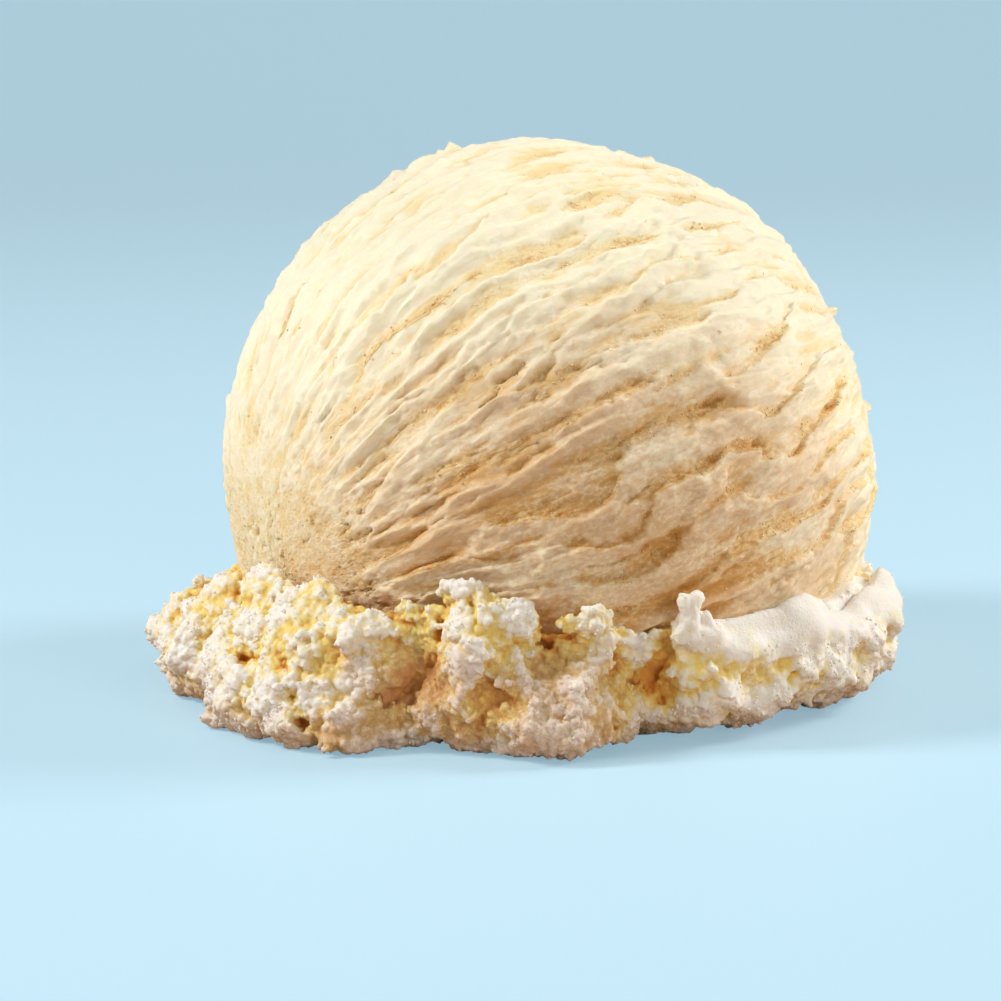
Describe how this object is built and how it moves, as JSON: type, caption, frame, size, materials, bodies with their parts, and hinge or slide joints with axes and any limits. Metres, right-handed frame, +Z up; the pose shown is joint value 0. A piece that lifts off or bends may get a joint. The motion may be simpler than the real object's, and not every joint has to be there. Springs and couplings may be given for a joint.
{
  "type": "vanilla ice cream scoop",
  "caption": "Single ball of vanilla ice cream with scraped furrows, standing in its torn, crumbly skirt on a flat foot.",
  "frame": {"origin": "on the flat foot, straight under the ball's centre", "axes": "+Z up, front towards -Y, +X to the right seen from the front"},
  "size_m": [0.0757, 0.0744, 0.0537],
  "materials": {
    "ice_cream": "frozen cream: matt, slightly translucent, warm ivory on the ball and frosty white on the torn skirt"
  },
  "bodies": {
    "root": {"ice_cream_scoop": "ice_cream"}
  },
  "joints": []
}
